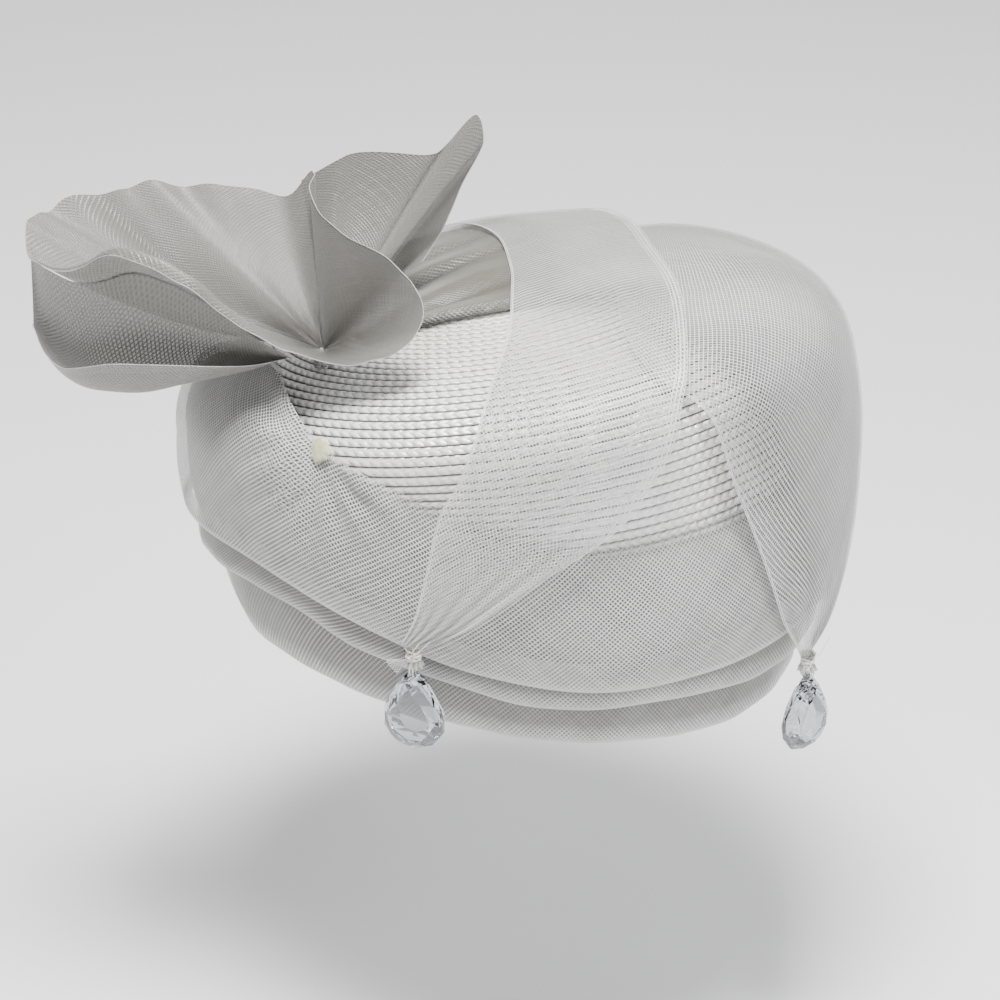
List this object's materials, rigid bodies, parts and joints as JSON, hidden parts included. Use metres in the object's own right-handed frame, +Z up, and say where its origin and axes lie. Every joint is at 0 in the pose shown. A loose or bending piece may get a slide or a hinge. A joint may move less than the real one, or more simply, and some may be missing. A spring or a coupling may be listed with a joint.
{
  "type": "church hat",
  "caption": "White straw crown hat with a net side band, stacked net rim folds, two net swaths, a net bow, pleats, and crystal drops that hang from thread ties.",
  "frame": {"origin": "middle of the head opening", "axes": "+Z up as the hat is worn, -Y towards the wearer's front, -X towards the wearer's right"},
  "size_m": [0.2221, 0.2643, 0.2113],
  "materials": {
    "straw": "glossy braid",
    "net": "translucent mesh with a soft sheen",
    "thread": "matte wound thread",
    "glue": "dried, slightly glossy",
    "crystal": "clear, faceted"
  },
  "bodies": {
    "hat": {"crown": "straw", "side_band": "net", "rim_fold_middle": "net", "rim_fold_lower": "net", "side_swath": "net", "front_swath": "net", "pleat_fan": "net", "bow_funnel": "net", "bow_rear_petal": "net", "bow_lower_petal": "net", "bow_knot": "net", "glue_tack": "glue", "tie_side": "thread", "tie_front": "thread"},
    "side_pendant": {"drop_side": "crystal"},
    "front_pendant": {"drop_front": "crystal"}
  },
  "joints": [
    {"name": "side_drop_swing", "type": "hinge", "parent": "hat", "child": "side_pendant", "pos_m": [-0.11071, -0.01787, 0.02665], "axis": [-0.9863, -0.165, 0], "range_deg": [-40, 40]},
    {"name": "front_drop_swing", "type": "hinge", "parent": "hat", "child": "front_pendant", "pos_m": [-0.01341, -0.11939, 0.00137], "axis": [-0.342, -0.9397, 0], "range_deg": [-40, 40]}
  ]
}
